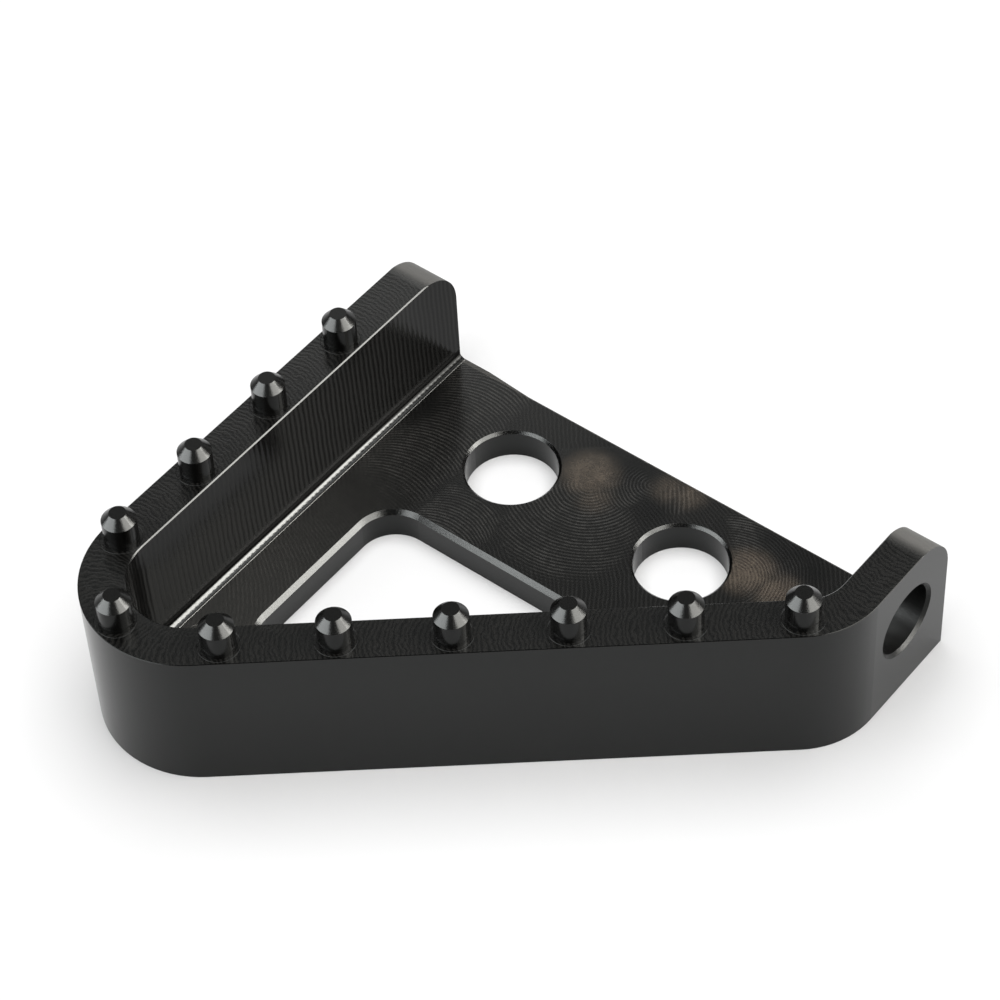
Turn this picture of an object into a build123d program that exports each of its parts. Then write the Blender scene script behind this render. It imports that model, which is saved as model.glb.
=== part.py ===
from build123d import *
import os
from math import asin, atan2, cos, hypot, sin, tan

# Brake pedal extension: one machined aluminium plate, a right triangle in plan, with a raised wall along its
# left and front sides. The wall carries a row of grip pins and ends at the right in a short ear with the
# mounting hole. X runs along the back edge, Y towards the back, Z up. The origin is the centre of the
# footprint, on the flat underside.

# Overall sizes, in millimetres
width = 56.8
depth = 51.0
height = 15.0
corner_radius = 9.5
bend_radius = 8.0

# Walls, plate and ear
wall = 4.0
ear_wall = 3.6
bend_inner_radius = 4.0
plate = 3.0
root_radius = 0.8
end_radius = 4.5
outer_edge_break = 0.05
inner_edge_break = 0.1

# Back edge of the plate, stepped in a little from the wall ends
back_step = 0.53
back_step_left = 0.17
taper_start = 7.6
taper_end = 12.4

# Triangular cut-out, measured from the outer faces of the walls and from the back plane
cutout_left = 9.9
cutout_front = 9.0
cutout_back = 17.8
cutout_radius = 3.5
cutout_chamfer = 0.4

# Round holes of the plate
plate_hole = 8.45
plate_hole_first = 16.4
plate_hole_pitch = 18.7
plate_hole_back = 8.15
plate_hole_chamfer = 0.25

# Mounting hole of the ear, and the flat lands between its chamfer and the back plane or the bend
ear_hole = 6.6
ear_hole_height = 8.4
ear_hole_chamfer = 0.3
ear_land_back = 2.3
ear_land_front = 1.16

# Grip pins along the middle of the wall; the first and last distances run along it from the back plane
pin_diameter = 3.0
pin_height = 3.25
pin_flat = 1.5
pin_cone = 0.85
pin_count = 11
pin_first = 13.4
pin_last = 15.94

# Places that follow from the sizes
left = -width / 2
right = width / 2
back = depth / 2
corner_x = left + corner_radius
corner_y = -depth / 2 + corner_radius

# Flat length of the ear's outer face, from the back plane to the bend
ear_hole_back = ear_land_back + ear_hole_chamfer + ear_hole / 2
ear_flat = ear_hole_back + ear_hole / 2 + ear_hole_chamfer + ear_land_front

# Slope of the front face, which touches the arcs of the corner and of the bend
run = right - bend_radius - corner_x
rise = back - ear_flat - corner_y
slope = atan2(rise, run) + asin((corner_radius - bend_radius) / hypot(run, rise))


def front_line(x, inset):
    """The point at x on a line parallel to the front face and inset behind it."""
    offset = inset - corner_radius + (x - corner_x) * sin(slope)
    return (x, corner_y + offset / cos(slope))


# Footprint, full height, its outer top edge only just broken
with BuildPart() as block:
    with BuildSketch() as footprint:
        with BuildLine():
            FilletPolyline(
                (left, back),
                front_line(left, 0),
                front_line(right, 0),
                (right, back),
                radius=[corner_radius, bend_radius],
            )
            Polyline(
                (right, back),
                (right - ear_wall, back),
                (right - ear_wall, back - back_step),
                (left + taper_end, back - back_step),
                (left + taper_start, back - back_step_left),
                (left + wall, back - back_step_left),
                (left + wall, back),
                (left, back),
            )
        make_face()
    extrude(amount=height)
    outer_edges = block.edges().group_by(Axis.Z)[-1].filter_by_position(Axis.Y, -back, back - end_radius / 2)
    chamfer(outer_edges, length=outer_edge_break)

# Pocket that leaves the plate and the walls, open at the back, with a rounded root
with BuildPart() as pocket:
    with BuildSketch(Plane.XY.offset(plate)):
        with BuildLine():
            FilletPolyline(
                (left + wall, back + wall),
                front_line(left + wall, wall),
                front_line(right - ear_wall, wall),
                (right - ear_wall, back + wall),
                radius=[corner_radius - wall, bend_inner_radius],
            )
            Line((right - ear_wall, back + wall), (left + wall, back + wall))
        make_face()
    extrude(amount=height)
    fillet(pocket.edges().group_by(Axis.Z)[0], radius=root_radius)

# One grip pin: a short cylinder with a conical shoulder and a flat top
with BuildPart() as pin:
    with BuildSketch(Plane.XZ):
        with BuildLine():
            Polyline(
                (0, 0),
                (pin_diameter / 2, 0),
                (pin_diameter / 2, pin_height - pin_cone),
                (pin_flat / 2, pin_height),
                (0, pin_height),
                close=True,
            )
        make_face()
    revolve(axis=Axis.Z)

# Line along the middle of the wall, from the back of the left wall round to the ear
with BuildLine() as pin_line:
    FilletPolyline(
        (left + wall / 2, back),
        front_line(left + wall / 2, wall / 2),
        front_line(right - wall / 2, wall / 2),
        (right - wall / 2, back),
        radius=[corner_radius - wall / 2, bend_radius - wall / 2],
    )
pin_path = pin_line.wire()
pin_pitch = (pin_path.length - pin_first - pin_last) / (pin_count - 1)
pin_places = [
    pin_path.position_at(pin_first + pin_pitch * i, position_mode=PositionMode.LENGTH) + Vector(0, 0, height)
    for i in range(pin_count)
]

with BuildPart() as step_plate:
    add(block.part)
    add(pocket.part, mode=Mode.SUBTRACT)

    # Broken inner edge along the top of the wall
    inner_edges = step_plate.edges(Select.LAST).group_by(Axis.Z)[-1]
    chamfer(inner_edges.filter_by_position(Axis.Y, -back, back - end_radius / 2), length=inner_edge_break)

    # Rounded top corners where the left wall and the ear end at the back plane
    with BuildSketch(Plane.YZ.offset(left)):
        with BuildLine():
            RadiusArc((back - end_radius, height), (back, height - end_radius), end_radius)
            Polyline(
                (back, height - end_radius),
                (back + end_radius, height - end_radius),
                (back + end_radius, height + end_radius),
                (back - end_radius, height + end_radius),
                (back - end_radius, height),
            )
        make_face()
    extrude(amount=width, mode=Mode.SUBTRACT)

    # Triangular cut-out
    with BuildSketch(Plane.XY.offset(plate)):
        with BuildLine():
            cut_left = left + cutout_left
            cut_back = back - cutout_back
            cut_front = front_line(cut_left, cutout_front)
            cut_right = cut_left + (cut_back - cut_front[1]) / tan(slope)
            FilletPolyline(
                (cut_left, cut_back),
                cut_front,
                (cut_right, cut_back),
                radius=cutout_radius,
                close=True,
            )
        make_face()
    extrude(amount=-plate, mode=Mode.SUBTRACT)
    chamfer(step_plate.edges(Select.LAST).group_by(Axis.Z)[-1], length=cutout_chamfer)

    # Round holes of the plate
    with Locations(
        (left + plate_hole_first, back - plate_hole_back, plate),
        (left + plate_hole_first + plate_hole_pitch, back - plate_hole_back, plate),
    ):
        Hole(radius=plate_hole / 2, depth=plate)
    chamfer(step_plate.edges(Select.LAST).group_by(Axis.Z)[-1], length=plate_hole_chamfer)

    # Mounting hole through the ear
    with BuildSketch(Plane.YZ.offset(right)):
        with Locations((back - ear_hole_back, ear_hole_height)):
            Circle(ear_hole / 2)
    extrude(amount=-ear_wall, mode=Mode.SUBTRACT)
    chamfer(step_plate.edges(Select.LAST).filter_by(GeomType.CIRCLE), length=ear_hole_chamfer)

    # Grip pins
    with Locations(*pin_places):
        add(pin.part)

step_plate.part.label = "step_plate"

os.makedirs("parts", exist_ok=True)
export_step(step_plate.part, "parts/step_plate.step")
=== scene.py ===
from math import asin, atan2, cos, pi, radians, sin, tan

import bpy
from mathutils import Matrix, Quaternion, Vector

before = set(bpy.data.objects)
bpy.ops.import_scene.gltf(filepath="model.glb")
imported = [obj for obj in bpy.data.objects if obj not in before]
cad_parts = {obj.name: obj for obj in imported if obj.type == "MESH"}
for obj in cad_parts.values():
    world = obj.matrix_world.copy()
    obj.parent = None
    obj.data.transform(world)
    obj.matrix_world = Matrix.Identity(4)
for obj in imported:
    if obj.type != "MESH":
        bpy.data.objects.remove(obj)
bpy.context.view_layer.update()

# Sizes of the part in millimetres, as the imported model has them
width, depth, height = 56.8, 51.0, 15.0
left, right, back = -width / 2, width / 2, depth / 2
plate, wall, ear_wall = 3.0, 4.0, 3.6
root_radius, end_radius = 0.8, 4.5
corner_radius, bend_radius = 9.5, 8.0

# Flat length of the ear's outer face, from the back plane to the bend
ear_flat = 10.66

# Centres of the corner's and the bend's arcs in the plan, and the front face, which touches both arcs
corner = Vector((left + corner_radius, -back + corner_radius))
bend = Vector((right - bend_radius, back - ear_flat))
run = bend - corner
slope = atan2(run.y, run.x) + asin((corner_radius - bend_radius) / run.length)
along_front = Vector((cos(slope), sin(slope)))
behind_front = Vector((-sin(slope), cos(slope)))

# A point over the plate that the wall's inner faces look towards
tray_middle = Vector((-6.0, 8.0))

# Where the root ends on the plate, from the wall's middle line
root_end = wall / 2 + root_radius

# Mounting hole of the ear: its axis in Y and Z, and how far from it the chamfer reaches
ear_hole, ear_hole_reach = (back - 5.9, 8.4), 3.6

# Grip pins along the wall's middle line: how many, distance of the first from the back plane, pitch, and the
# radius of the ring cut round each
pin_count, pin_first, pin_pitch, pin_ring = 11, 13.4, 9.5, 1.78

# Places on the plate where the cutter turned, and the middle of its long pass along the front wall
turn_between_holes, turn_at_back, turn_by_ear = (-5.1, 19.8), (-0.5, 23.1), (11.0, 18.3)
long_pass = (-6.0, 4.0)

# Places on the plate that stay dark: centre and reach
dark_places = [
    ((-3.0, 23.6), 1.8), ((-6.6, 25.2), 1.6), ((1.2, 20.4), 1.5), ((13.5, 26.5), 4.0), ((16.5, 23.2), 1.6),
    ((-25.5, 18.5), 3.9),
]

# Places on the plate where a warm sheen is painted into the colour as a reflection: centre, reach and
# strength
painted_sheen_places = [
    ((-5.9, 20.9), 2.2, 1.0), ((-3.8, 18.8), 1.3, 0.5), ((0.8, 23.5), 1.1, 0.65), ((2.8, 24.0), 1.1, 0.75),
    ((11.9, 19.8), 2.2, 1.1), ((15.4, 19.4), 1.7, 1.1),
]

# Colours of the dyed surface where it scatters no light and where its scatter is 1, and of the painted
# sheen, a warm reflection
dye_dark = (0.0, 0.0, 0.0, 1.0)
dye_pale = (0.0207, 0.0203, 0.0190, 1.0)
painted_sheen_colour = (0.0230, 0.0187, 0.0144, 1.0)

millimetres_per_metre = 1000.0


class Graph:
    """A node tree that is built by short calls; each gives back an output socket."""

    def __init__(self, tree):
        self.tree = tree

    def put(self, socket, value):
        """Link a socket, or set a plain value."""
        if isinstance(value, bpy.types.NodeSocket):
            self.tree.links.new(value, socket)
        else:
            socket.default_value = value

    def node(self, kind, inputs=(), **settings):
        n = self.tree.nodes.new(kind)
        for key, value in settings.items():
            setattr(n, key, value)
        for key, value in dict(inputs).items():
            self.put(n.inputs[key], value)
        return n

    def math(self, operation, *values):
        n = self.node("ShaderNodeMath", operation=operation)
        for socket, value in zip(n.inputs, values):
            self.put(socket, value)
        return n.outputs[0]

    def add(self, *values):
        total = values[0]
        for value in values[1:]:
            total = self.math("ADD", total, value)
        return total

    def mul(self, *values):
        total = values[0]
        for value in values[1:]:
            total = self.math("MULTIPLY", total, value)
        return total

    def sub(self, a, b):
        return self.math("SUBTRACT", a, b)

    def highest(self, values):
        total = values[0]
        for value in values[1:]:
            total = self.math("MAXIMUM", total, value)
        return total

    def invert(self, a):
        return self.math("SUBTRACT", 1.0, a)

    def length(self, a, b):
        """Length of the diagonal over two sides at right angles."""
        return self.math("SQRT", self.add(self.mul(a, a), self.mul(b, b)))

    def rise(self, value, low, high):
        """0 below low, 1 above high, smooth between."""
        n = self.node("ShaderNodeMapRange", interpolation_type="SMOOTHSTEP")
        for name, v in (("Value", value), ("From Min", low), ("From Max", high)):
            self.put(n.inputs[name], v)
        return n.outputs["Result"]

    def band(self, value, low, high, soft):
        """1 between low and high, 0 outside, soft at both ends."""
        return self.mul(self.rise(value, low - soft, low + soft),
                        self.invert(self.rise(value, high - soft, high + soft)))

    def mix(self, factor, a, b):
        """a where factor is 0, b where it is 1."""
        n = self.node("ShaderNodeMix", {"Factor": factor, "A": a, "B": b}, data_type="FLOAT")
        return n.outputs["Result"]

    def mix_colour(self, factor, a, b):
        """As mix, for colours, whose sockets share their names with those of the other kinds."""
        return self.node("ShaderNodeMix", {0: factor, 6: a, 7: b}, data_type="RGBA").outputs[2]

    def vector(self, x, y, z):
        return self.node("ShaderNodeCombineXYZ", {"X": x, "Y": y, "Z": z}).outputs[0]

    def noise(self, place, scale, detail=2.0, roughness=0.5, distortion=0.0):
        """Noise from 0 to 1 with scale waves to a millimetre."""
        n = self.node("ShaderNodeTexNoise", {"Scale": scale, "Detail": detail, "Roughness": roughness,
                                             "Distortion": distortion, "Vector": place})
        return n.outputs[0]

    def wander(self, place, scale, detail, reach):
        """A slow shift of up to half of reach to either side, so that marks aren't drawn with a ruler."""
        return self.mul(self.sub(self.noise(place, scale, detail), 0.5), reach)

    def dot(self, x, y, direction, origin):
        """How far the point (x, y) lies from origin along a direction in the plane."""
        return self.add(self.mul(x, direction[0]), self.mul(y, direction[1]),
                        -(origin[0] * direction[0] + origin[1] * direction[1]))

    def distance(self, x, y, origin):
        return self.length(self.sub(x, origin[0]), self.sub(y, origin[1]))

    def ripple(self, length, pitch):
        """A wave from 0 to 1 that repeats every pitch."""
        return self.add(self.mul(self.math("SINE", self.mul(length, 2 * pi / pitch)), 0.5), 0.5)

    def spot(self, x, y, centre, reach, soft):
        """1 near the centre, 0 far from it, half way at reach, changing over soft on either side."""
        return self.invert(self.rise(self.distance(x, y, centre), reach - soft, reach + soft))


class Surface:
    """Where a point of the part is, in millimetres, and which kind of face it is on, each from 0 to 1."""

    def __init__(self, g):
        source = g.node("ShaderNodeTexCoord")
        inputs = {0: source.outputs["Object"], "Scale": millimetres_per_metre}
        self.place = g.node("ShaderNodeVectorMath", inputs, operation="SCALE").outputs[0]
        self.x, self.y, self.z = g.node("ShaderNodeSeparateXYZ", {0: self.place}).outputs
        facing_x, facing_y, up = g.node("ShaderNodeSeparateXYZ", {0: source.outputs["Normal"]}).outputs

        # Which way the face looks: level, upright, between the two, or towards the tray
        level = g.rise(up, 0.96, 0.995)
        upright = g.invert(g.rise(g.math("ABSOLUTE", up), 0.05, 0.15))
        self.slanted = g.band(up, 0.2, 0.9, 0.1)
        inward = g.add(g.mul(facing_x, g.sub(tray_middle.x, self.x)),
                       g.mul(facing_y, g.sub(tray_middle.y, self.y)))
        inner_side = g.rise(inward, -0.5, 0.5)

        # Upper side of the plate, top of the wall, and the pins
        self.on_plate = g.mul(level, g.band(self.z, plate - 0.1, plate + 0.1, 0.05))
        self.on_top = g.mul(level, g.band(self.z, height - 0.1, height + 0.1, 0.05))
        self.on_pin = g.rise(self.z, height + 0.02, height + 0.05)

        # Inner faces of the wall, and their part towards the back
        root_top = plate + root_radius
        self.on_inner = g.mul(upright, inner_side, g.rise(self.z, root_top - 0.1, root_top))
        self.inner_back = g.mul(self.on_inner, g.rise(self.y, 15.0, 24.0))

        # The rounded root, its part towards the back, and its upper part, which starts lower at the back
        self.on_root = g.mul(g.band(self.z, plate + 0.01, root_top, 0.005), g.rise(up, 0.05, 0.2))
        self.root_back = g.mul(self.on_root, g.rise(self.y, 14.5, 23.0))
        lifted = g.add(self.z, g.mul(g.rise(self.y, 8.0, 18.0), 0.08))
        self.above_root = g.mul(inner_side, g.invert(g.rise(self.z, root_top - 0.05, root_top + 0.05)),
                                g.rise(lifted, plate + 0.24, plate + 0.34))

        # Chamfers of the plate's openings, the wall's rounded ends, and its broken top edges
        self.on_rim = g.mul(g.band(self.z, plate - 0.5, plate - 0.01, 0.01), g.rise(up, 0.3, 0.5))
        end_front, end_low = back - end_radius, height - end_radius
        self.on_end = g.mul(g.rise(self.y, end_front, end_front + 1.6), g.rise(up, 0.02, 0.08),
                            g.rise(self.z, end_low - 0.5, end_low))
        top_edge = g.mul(self.slanted, g.band(self.z, height - 0.15, height + 0.01, 0.01),
                         g.invert(self.on_end))
        self.on_inner_edge = g.mul(top_edge, inner_side)
        self.on_outer_edge = g.mul(top_edge, g.invert(inner_side))

        # Bore of the ear with its chamfers
        from_axis = g.distance(self.y, self.z, ear_hole)
        self.on_bore = g.mul(g.invert(g.rise(from_axis, ear_hole_reach - 0.02, ear_hole_reach + 0.02)),
                             g.rise(self.x, right - ear_wall - 0.1, right - ear_wall))


def wall_place(g, x, y):
    """Distance along the wall, from its back left end round to the ear, and inwards from its middle."""
    straight = back - corner.y
    corner_arc, bend_arc = corner_radius - wall / 2, bend_radius - wall / 2
    front_start = straight + corner_arc * (pi / 2 + slope)
    front = run.dot(along_front)
    bend_start = front_start + front
    ear_start = bend_start + bend_arc * (pi / 2 - slope)

    turned = g.math("ARCTAN2", g.sub(corner.y, y), g.sub(corner.x, x))
    from_corner = g.dot(x, y, along_front, corner)
    bent = g.math("ARCTAN2", g.dot(x, y, along_front, bend), g.mul(g.dot(x, y, behind_front, bend), -1.0))
    stretches = [
        (g.sub(back, y), g.sub(x, left + wall / 2)),
        (g.add(g.mul(turned, corner_arc), straight), g.sub(corner_arc, g.distance(x, y, corner))),
        (g.add(from_corner, front_start), g.add(g.dot(x, y, behind_front, corner), corner_arc)),
        (g.add(g.mul(bent, bend_arc), bend_start), g.sub(bend_arc, g.distance(x, y, bend))),
        (g.add(g.sub(y, bend.y), ear_start), g.sub(right - wall / 2, x)),
    ]

    # Where each stretch after the left wall takes over from the one before
    not_left = g.math("MAXIMUM", g.math("LESS_THAN", y, corner.y),
                      g.math("GREATER_THAN", x, left + wall + 1.5))
    starts = [
        not_left,
        g.mul(not_left, g.math("GREATER_THAN", from_corner, 0.0)),
        g.mul(not_left, g.math("GREATER_THAN", from_corner, front)),
        g.mul(g.math("GREATER_THAN", x, bend.x), g.math("GREATER_THAN", y, bend.y)),
    ]
    along, across = stretches[0]
    for start, (length, offset) in zip(starts, stretches[1:]):
        along, across = g.mix(start, along, length), g.mix(start, across, offset)
    return along, across


def pass_marks(g, ahead, aside, radius, pitch):
    """Feed marks of a cutter that moves straight ahead: equal arcs, one every pitch."""
    bow = g.math("SQRT", g.math("MAXIMUM", g.sub(radius * radius, g.mul(aside, aside)), 0.0))
    return g.ripple(g.add(ahead, bow), pitch)


def swirl_marks(g, x, y, centre, pitch):
    """Rings left where the cutter turned about a centre."""
    return g.ripple(g.distance(x, y, centre), pitch)


def plate_marks(g, s):
    """The plate's milled arcs, and how strong they are: one long pass, and tighter ones laid over it."""
    wander = g.wander(s.place, 0.5, 2.0, 0.35)
    x, y = g.add(s.x, wander), g.add(s.y, wander)
    forward, ahead = g.mul(y, -1.0), g.mul(g.dot(x, y, along_front, corner), -1.0)
    marks = pass_marks(g, ahead, g.dot(x, y, behind_front, long_pass), 16.0, 0.38)
    fields = [
        # Passes towards the front, beside the left wall and in front of the left hole
        (pass_marks(g, forward, g.sub(x, -18.8), 6.5, 0.38),
         g.mul(g.band(s.x, -24.6, -15.4, 0.6), g.rise(s.y, 6.0, 12.0))),
        (pass_marks(g, forward, g.sub(x, -11.95), 5.35, 0.34),
         g.mul(g.band(s.x, -15.6, -8.3, 0.7), g.band(s.y, 7.8, 12.8, 0.7))),
        # Turns between the two holes, by the back edge and beside the ear
        (swirl_marks(g, x, y, turn_between_holes, 0.36),
         g.mul(g.spot(s.x, s.y, (-3.6, 14.6), 6.0, 1.2), g.rise(g.sub(s.x, s.y), -27.5, -25.0))),
        (swirl_marks(g, x, y, turn_at_back, 0.32), g.spot(s.x, s.y, (-2.6, 21.4), 2.6, 0.6)),
        (swirl_marks(g, x, y, turn_by_ear, 0.3),
         g.mul(g.band(g.distance(s.x, s.y, turn_by_ear), 1.2, 7.4, 0.8),
               g.rise(g.add(s.x, s.y), 29.5, 31.5))),
        # A straight patch by the back edge, and a torn one beside the left hole
        (g.ripple(g.dot(x, y, (0.8, 0.6), (0, 0)), 0.4), g.spot(s.x, s.y, (2.2, 22.9), 1.8, 0.7)),
        (g.noise(s.place, 3.2, 2.0, 0.5, 1.5), g.spot(s.x, s.y, (-5.6, 21.2), 2.1, 0.9)),
    ]
    for field, where in fields:
        marks = g.mix(where, marks, field)

    # The long pass is faint; all marks come and go in patches, and each is broken here and there
    long_pass_strength = 0.2
    strength = g.highest([long_pass_strength] + [where for _, where in fields])
    patchy = g.rise(g.noise(s.place, 0.5, 2.0), 0.3, 0.65)
    broken = g.rise(g.noise(s.place, 2.2, 2.0, 0.6), 0.3, 0.6)
    return g.mul(marks, marks), g.mul(strength, g.mix(patchy, 0.45, 1.0), g.mix(broken, 0.4, 1.0))


def plate_tone(g, s):
    """How light the milled plate is before its marks: lighter in front, with dark places near the back."""
    dark = g.highest([g.spot(s.x, s.y, centre, reach, 1.3) for centre, reach in dark_places])
    front = g.invert(g.rise(g.add(s.x, s.y), -30.0, -2.0))
    return g.mul(g.mix(front, 0.95, 3.0), g.mix(dark, 1.0, 0.12))


def top_marks(g, s, along, across):
    """Short arcs along the wall's top, and rows of chatter where the cutter slowed near its two ends."""
    arcs = pass_marks(g, g.add(along, g.wander(s.place, 1.3, 3.0, 1.0)), g.add(across, 0.6), 4.6, 0.42)
    chatter = g.mul(g.ripple(g.dot(s.x, s.y, (1.0, 0.12), (0, 0)), 0.36), g.ripple(s.y, 1.15))
    near_end = g.rise(s.y, back - 4.6, back - 3.4)
    return g.mix(near_end, arcs, chatter), g.mix(near_end, 0.7, 1.0)


def pin_rings(g, along, across):
    """The thin ring that the cutter left on the wall's top round each pin."""
    first_half_way = pin_first - pin_pitch / 2
    away = g.sub(g.math("FLOORED_MODULO", g.sub(along, first_half_way), pin_pitch), pin_pitch / 2)
    ring = g.band(g.length(away, across), pin_ring - 0.03, pin_ring + 0.03, 0.03)
    return g.mul(ring, g.band(along, first_half_way, first_half_way + pin_count * pin_pitch, 0.1))


def rib_marks(g, s):
    """Ribs that the side of the cutter left on the inner faces of the wall, running up and down."""
    around = g.sub(g.mul(s.y, 0.97), g.mul(s.x, 0.55))
    ribs = g.ripple(g.add(around, g.wander(s.place, 0.4, 1.0, 0.3), g.mul(s.z, 0.03)), 0.56)
    uneven = g.noise(g.vector(around, 0.0, g.mul(s.z, 0.08)), 1.3, 2.0)
    return g.mul(ribs, g.mix(uneven, 0.7, 1.3))


def painted_warm_sheen(g, s):
    """Patches of the milled plate where a warm sheen is painted in as a reflection, cloudy and finely
    broken.
    """
    patches = [g.mul(g.spot(s.x, s.y, centre, reach, 1.3), level) for centre, reach, level in painted_sheen_places]
    cloudy = g.rise(g.noise(s.place, 0.9, 3.0), 0.25, 0.75)
    fine = g.rise(g.noise(s.place, 4.0, 2.0, 0.6, 1.2), 0.3, 0.7)
    return g.mul(g.highest(patches), g.mix(cloudy, 0.6, 1.0), g.mix(fine, 0.6, 1.1), s.on_plate)


def black_anodised():
    """The part's one material, which tells its faces apart by where they are and which way they look."""
    material = bpy.data.materials.new("black_anodised_machined")
    material.use_nodes = True
    tree = material.node_tree
    tree.nodes.clear()
    g = Graph(tree)
    s = Surface(g)

    along, across = wall_place(g, s.x, s.y)
    plate_wave, plate_strength = plate_marks(g, s)
    top_wave, top_strength = top_marks(g, s, along, across)
    ribs = rib_marks(g, s)
    cloud = g.noise(s.place, 0.12, 3.0)
    grain = g.noise(s.place, 9.0, 3.0, 0.6)
    specks = g.rise(g.noise(s.place, 7.0, 1.0, 0.4), 0.69, 0.76)
    root_line = g.mul(g.band(s.z, plate - 0.1, plate + 0.03, 0.01),
                      g.band(across, root_end - 0.12, root_end - 0.03, 0.02))
    # Strip along the plate's back edge, which gets more bare specks and a painted highlight
    back_edge_specks_and_highlight = g.mul(s.on_plate, g.rise(s.y, back - 0.65, back - 0.6))

    # How much light the dye scatters back, from the smooth outer faces to the milled inner ones
    outer_scatter = 0.02
    milled_plate = g.mul(g.mix(g.mul(plate_wave, plate_strength), 0.032, 0.32), plate_tone(g, s))
    faces = [
        (s.on_plate, milled_plate),
        (s.on_inner, g.mix(ribs, 0.01, 0.04)),
        (s.on_top, g.mix(g.mul(top_wave, top_strength), 0.005, 0.13)),
        (s.on_end, 0.8),
    ]
    scatter = outer_scatter
    for where, amount in faces:
        scatter = g.mix(where, scatter, amount)
    scatter = g.mul(scatter, g.mix(cloud, 0.8, 1.2), g.mix(grain, 0.75, 1.25))

    # Bare specks, most of them on chamfers and along the plate's back edge, a painted highlight along that
    # edge, and a painted highlight on the line at the root
    bare_specks = g.mul(specks, g.add(0.05, g.mul(s.on_rim, 0.7), g.mul(back_edge_specks_and_highlight, 3.0)))
    # Painted highlight on the tool mark where the root meets the plate, stronger in front and fading towards
    # the back
    painted_root_highlight = g.mul(root_line, g.mix(g.rise(s.y, 8.0, 15.0), 1.5, 0.4))
    scatter = g.add(scatter, bare_specks, g.mul(back_edge_specks_and_highlight, 0.4), painted_root_highlight)
    colour = g.mix_colour(scatter, dye_dark, dye_pale)
    # Painted sheen: a warm reflection painted into the plate's colour in patches, stronger on the tool marks
    colour = g.mix_colour(g.mul(painted_warm_sheen(g, s), g.mix(plate_wave, 0.6, 1.0)), colour, painted_sheen_colour)

    # Roughness: satin, and duller where the list adds to it, most on the wall's rounded ends
    duller = [
        g.mul(s.on_plate, g.mix(plate_wave, 0.02, 0.06)), g.mul(s.slanted, 0.04), g.mul(s.on_pin, 0.05),
        g.mul(s.on_top, 0.04), g.mul(s.on_end, 0.28), g.mul(s.on_bore, 0.15),
    ]
    rough = g.add(g.mix(grain, 0.14, 0.20), *duller)

    # Strength of the mirror-like reflection, set by how cleanly each kind of face was cut
    outer_gloss = 0.5
    levels = [
        (s.on_inner, 0.2), (s.inner_back, 0.13), (s.root_back, 0.2), (s.above_root, 0.06), (s.on_rim, 0.38),
        (s.on_pin, 0.36), (s.on_outer_edge, 0.12), (s.on_inner_edge, 0.32), (s.on_bore, 0.35),
        (s.on_end, 0.55),
    ]
    gloss = outer_gloss
    for where, level in levels:
        gloss = g.mix(where, gloss, level)

    # Height of the tool marks in millimetres
    marks = [
        g.mul(s.on_plate, plate_wave, plate_strength, 0.0042),
        g.mul(s.on_top, top_wave, top_strength, 0.0050),
        g.mul(s.on_inner, ribs, 0.0080),
        g.mul(s.slanted, grain, 0.0040),
        g.mul(s.on_rim, grain, 0.0060),
        g.mul(grain, 0.0006),
        g.mul(s.on_root, ribs, 0.003),
        g.mul(root_line, 0.02),
        g.mul(s.on_top, pin_rings(g, along, across), 0.012),
        g.mul(s.on_bore, grain, 0.010),
    ]
    bump = g.node("ShaderNodeBump", {"Height": g.add(*marks), "Distance": 1 / millimetres_per_metre})

    shader = g.node("ShaderNodeBsdfPrincipled", {
        "Base Color": colour,
        "Roughness": rough,
        "Specular IOR Level": gloss,
        "Specular Tint": (0.965, 1.0, 0.985, 1.0),
        "IOR": 1.33,
        "Normal": bump.outputs[0],
    })
    g.node("ShaderNodeOutputMaterial", {"Surface": shader.outputs[0]})
    return material


def floor_white():
    material = bpy.data.materials.new("floor_white")
    material.use_nodes = True
    shader = material.node_tree.nodes["Principled BSDF"]
    shader.inputs["Base Color"].default_value = (0.80, 0.80, 0.80, 1.0)
    shader.inputs["Roughness"].default_value = 0.9
    return material


def add_floor(reach, below):
    """A square floor that reaches as far to each side, a hair below the part's underside."""
    mesh = bpy.data.meshes.new("floor")
    corners = [(-reach, -reach, 0), (reach, -reach, 0), (reach, reach, 0), (-reach, reach, 0)]
    mesh.from_pydata(corners, [], [(0, 1, 2, 3)])
    mesh.materials.append(floor_white())
    floor = bpy.data.objects.new("floor", mesh)
    floor.location.z = -below
    bpy.context.collection.objects.link(floor)


def add_panel(name, place, axes, wide, tall, radiance, colour, only):
    """A light panel that shines against the third of its axes; only limits it to one collection."""
    lamp = bpy.data.lights.new(name, "AREA")
    lamp.shape = "RECTANGLE"
    lamp.size, lamp.size_y = wide, tall
    lamp.energy = radiance * pi * wide * tall
    lamp.color = colour
    panel = bpy.data.objects.new(name, lamp)
    panel.matrix_world = Matrix.Translation(place) @ Matrix(axes).transposed().to_4x4()
    panel.visible_camera = False
    bpy.context.collection.objects.link(panel)
    if only:
        panel.light_linking.receiver_collection = only


def add_softbox(name, azimuth, low, high, distance, angle, radiance, colour, only=None):
    """An upright softbox at an azimuth from +X, seen from the part between two elevations, in degrees."""
    azimuth, low, high, angle = radians(azimuth), radians(low), radians(high), radians(angle)
    towards = Vector((cos(azimuth), sin(azimuth), 0))
    level = Vector((-sin(azimuth), cos(azimuth), 0))
    up = Vector((0, 0, 1))
    place = (towards + up * (tan(low) + tan(high)) / 2) * distance
    wide, tall = 2 * distance * tan(angle / 2), distance * (tan(high) - tan(low))
    add_panel(name, place, (level, up, towards), wide, tall, radiance, colour, only)


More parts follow.
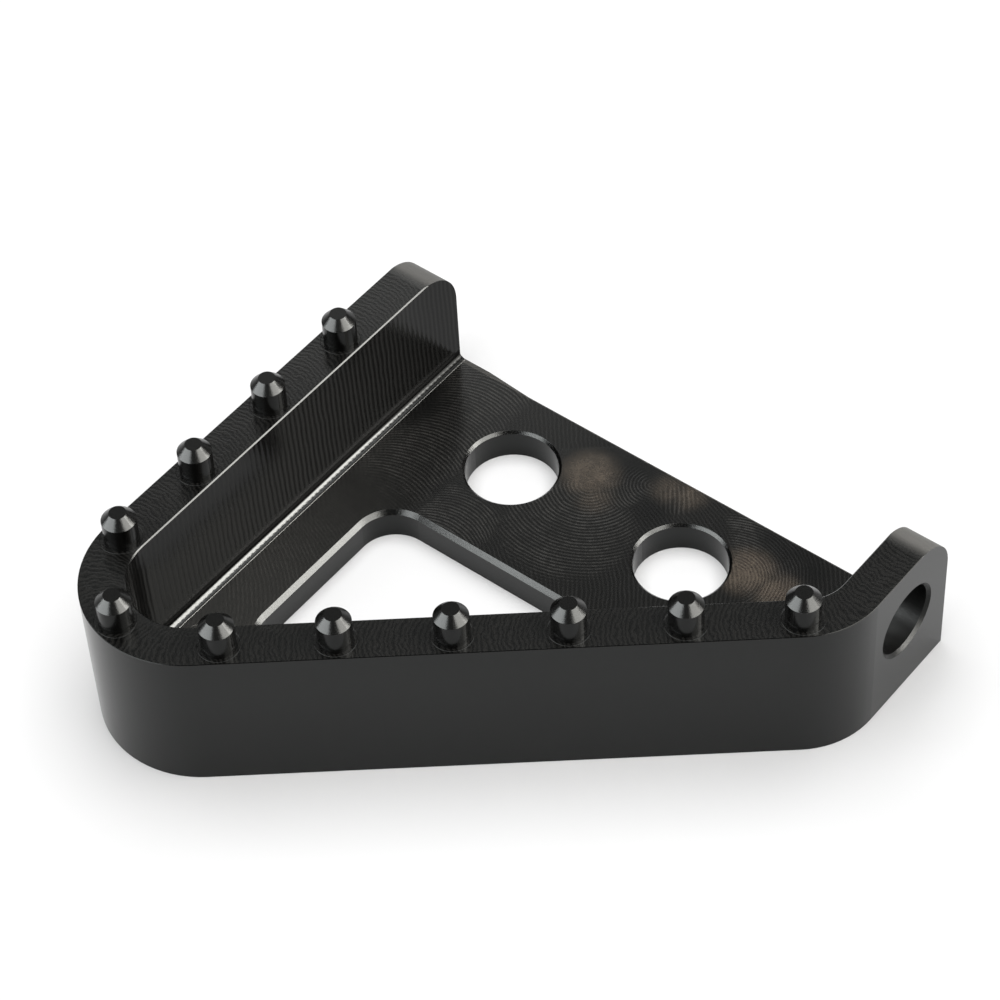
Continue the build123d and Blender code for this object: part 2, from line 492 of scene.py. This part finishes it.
def add_top_panel(name, azimuth, above, size, radiance, colour):
    """A square panel above the part, one side of it turned towards azimuth, in degrees from +X."""
    azimuth = radians(azimuth)
    level = Vector((-sin(azimuth), cos(azimuth), 0))
    towards = Vector((cos(azimuth), sin(azimuth), 0))
    add_panel(name, (0, 0, above), (level, -towards, Vector((0, 0, 1))), size, size, radiance, colour, None)


def add_camera(aim, distance, azimuth, elevation, roll, lens):
    """A camera that looks at aim from an azimuth (0 looks along +Y) and elevation, rolled, in degrees."""
    azimuth, elevation, roll = radians(azimuth), radians(elevation), radians(roll)
    outward = Vector((sin(azimuth) * cos(elevation), -cos(azimuth) * cos(elevation), sin(elevation)))
    data = bpy.data.cameras.new("camera")
    data.lens, data.sensor_width, data.clip_start = lens, 36.0, 0.01
    camera = bpy.data.objects.new("camera", data)
    level = outward.to_track_quat("Z", "Y")
    turned = Quaternion(outward, roll) @ level
    camera.matrix_world = Matrix.Translation(Vector(aim) + outward * distance) @ turned.to_matrix().to_4x4()
    bpy.context.collection.objects.link(camera)
    bpy.context.scene.camera = camera


part = bpy.data.objects["step_plate"]
body_material = black_anodised()
for slot in part.material_slots:
    slot.material = body_material

add_floor(reach=2.0, below=0.00002)

# Softboxes: azimuth, lowest and highest elevation, distance, angle across, radiance and colour; most of them
# light the part alone
lit_part = bpy.data.collections.new("lit_part")
lit_part.objects.link(part)
warm, cool, neutral, white = (1.0, 0.96, 0.92), (0.98, 0.99, 1.0), (1.0, 0.99, 0.98), (1.0, 1.0, 1.0)
add_softbox("softbox_right", 15, 15, 66, 0.22, 68, 22.0, warm, lit_part)
add_softbox("softbox_core", 38, 22, 62, 0.215, 22, 24.0, warm, lit_part)
add_softbox("softbox_left", -116, 7, 46, 0.5, 70, 18.0, cool, lit_part)
add_softbox("softbox_back", 133, 31, 45, 0.63, 40, 2.3, neutral)
add_softbox("softbox_behind", 117, 3, 25, 0.5, 60, 1.8, neutral, lit_part)
add_top_panel("top_panel", azimuth=131, above=1.0, size=1.2, radiance=3.6, colour=white)

world = bpy.data.worlds.new("studio")
world.use_nodes = True
world.node_tree.nodes["Background"].inputs["Color"].default_value = (0.15, 0.15, 0.15, 1.0)
bpy.context.scene.world = world
bpy.context.scene.view_settings.view_transform = "Standard"

add_camera(aim=(-0.00755, 0.01033, 0.008), distance=0.30103, azimuth=40.765, elevation=48.6, roll=-3.37,
           lens=125.172)
